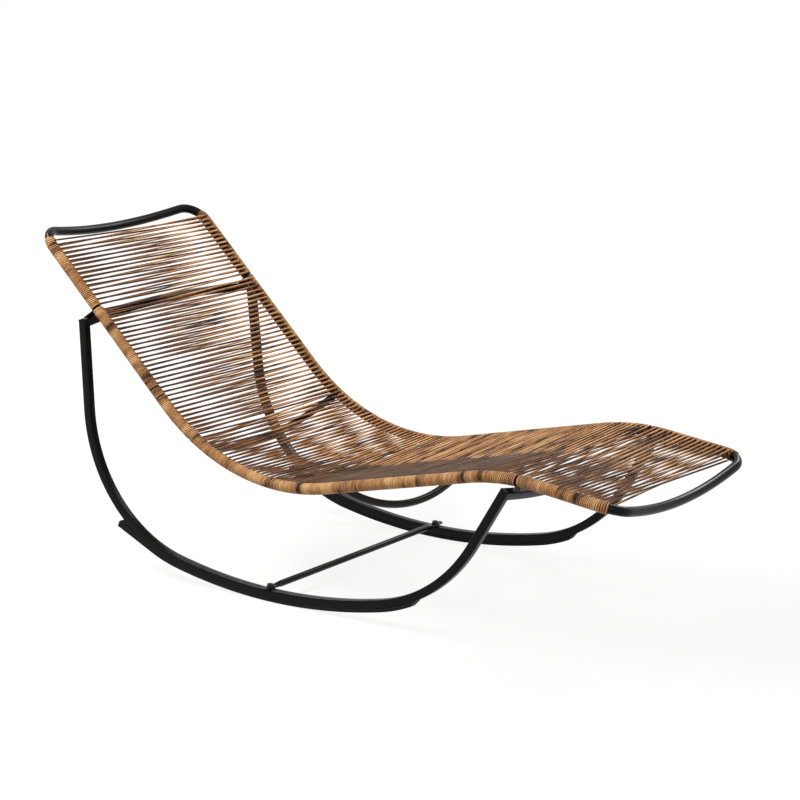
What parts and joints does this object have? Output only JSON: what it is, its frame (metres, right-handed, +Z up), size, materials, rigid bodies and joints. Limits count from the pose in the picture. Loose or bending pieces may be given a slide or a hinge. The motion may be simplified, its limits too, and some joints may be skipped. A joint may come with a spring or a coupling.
{
  "type": "rocking chaise lounge",
  "caption": "Reclining rocker lounger: bent tube rails wound with cane strand across the seat, carried on two bent square tube runners.",
  "frame": {"origin": "middle of the footprint, on the floor", "axes": "+X from head to foot, +Y to the sitter's left, +Z up"},
  "size_m": [1.6562, 0.7062, 0.7865],
  "materials": {
    "frame": "black powder coat, satin",
    "cane": "round synthetic cane strand, mottled light and dark brown",
    "glide": "black moulded plastic",
    "fastener": "blackened steel",
    "zinc": "zinc plated"
  },
  "bodies": {
    "root": {"back_strands_lower": "cane", "back_strands_upper": "cane", "brace_bolts": "fastener", "brace_rivet_nuts": "zinc", "brace_washers": "fastener", "foot_strands_lower": "cane", "foot_strands_upper": "cane", "foot_tube": "frame", "front_cross_tube": "frame", "front_gusset_left": "frame", "front_gusset_right": "frame", "glide_screws": "zinc", "glide_strip_left": "glide", "glide_strip_right": "glide", "head_tube": "frame", "knee_strands_lower": "cane", "knee_strands_upper": "cane", "lumbar_bow_tube": "frame", "lumbar_strands_lower": "cane", "lumbar_strands_upper": "cane", "rail_wrap_left": "cane", "rail_wrap_right": "cane", "rear_cross_tube": "frame", "rear_gusset_left": "frame", "rear_gusset_right": "frame", "rocker_left": "frame", "rocker_right": "frame", "runner_brace": "frame", "seat_bow_tube": "frame", "seat_rail_left": "frame", "seat_rail_right": "frame", "seat_strands_lower": "cane", "seat_strands_upper": "cane"}
  },
  "joints": []
}
